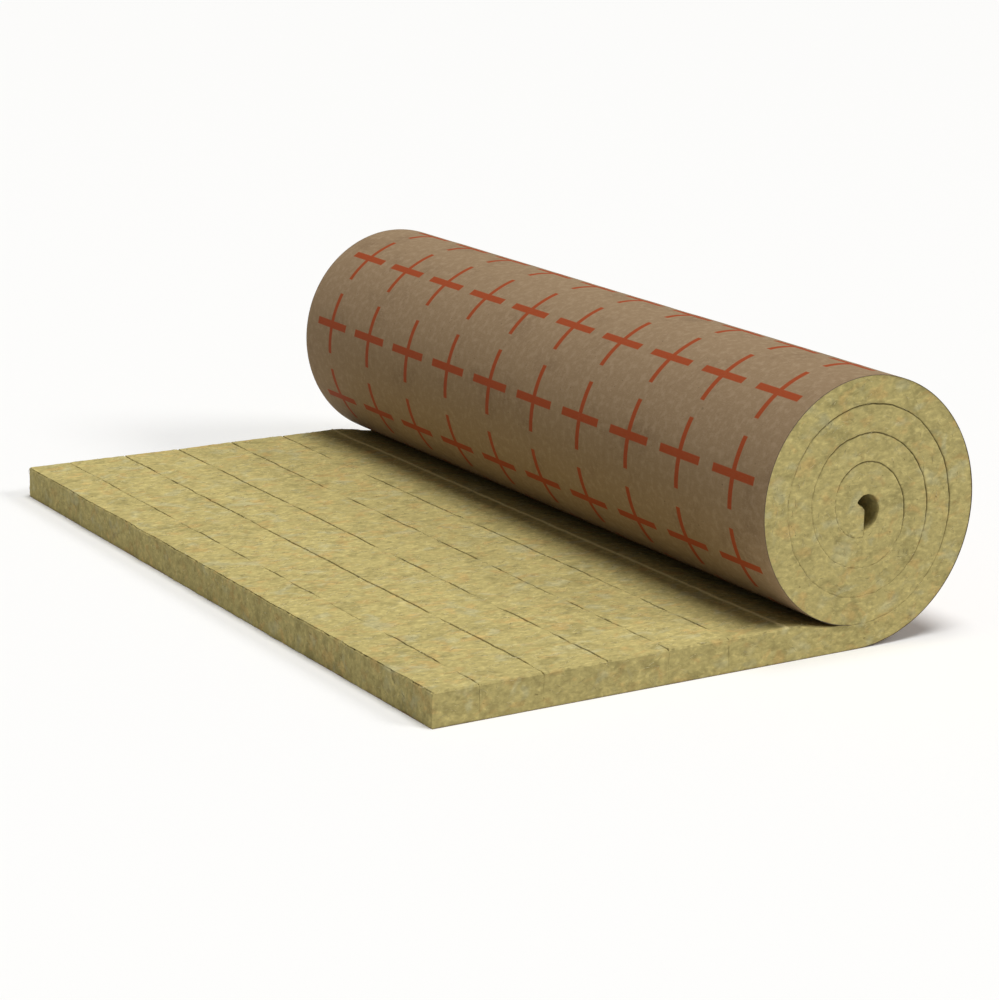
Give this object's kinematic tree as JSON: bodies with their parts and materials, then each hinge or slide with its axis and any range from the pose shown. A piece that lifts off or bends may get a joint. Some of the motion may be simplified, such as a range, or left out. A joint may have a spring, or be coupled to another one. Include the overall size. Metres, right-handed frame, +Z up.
{
  "type": "insulation roll",
  "caption": "Roll of stone-wool lamella mat on a brown kraft-paper facing, its free end unrolled flat on the floor.",
  "frame": {"origin": "middle of the footprint's bounding box, on the floor", "axes": "+X along the mat from its free end towards the roll, +Y along the roll's axis, +Z up"},
  "size_m": [0.6736, 1, 0.2987],
  "materials": {
    "stone_wool": "matte, fibrous",
    "kraft_paper": "matte, printed grid of orange crosses"
  },
  "bodies": {
    "root": {"kraft_facing": "kraft_paper", "rolled_wool": "stone_wool", "lamella_1": "stone_wool", "lamella_2": "stone_wool", "lamella_3": "stone_wool", "lamella_4": "stone_wool", "lamella_5": "stone_wool", "lamella_6": "stone_wool"}
  },
  "joints": []
}
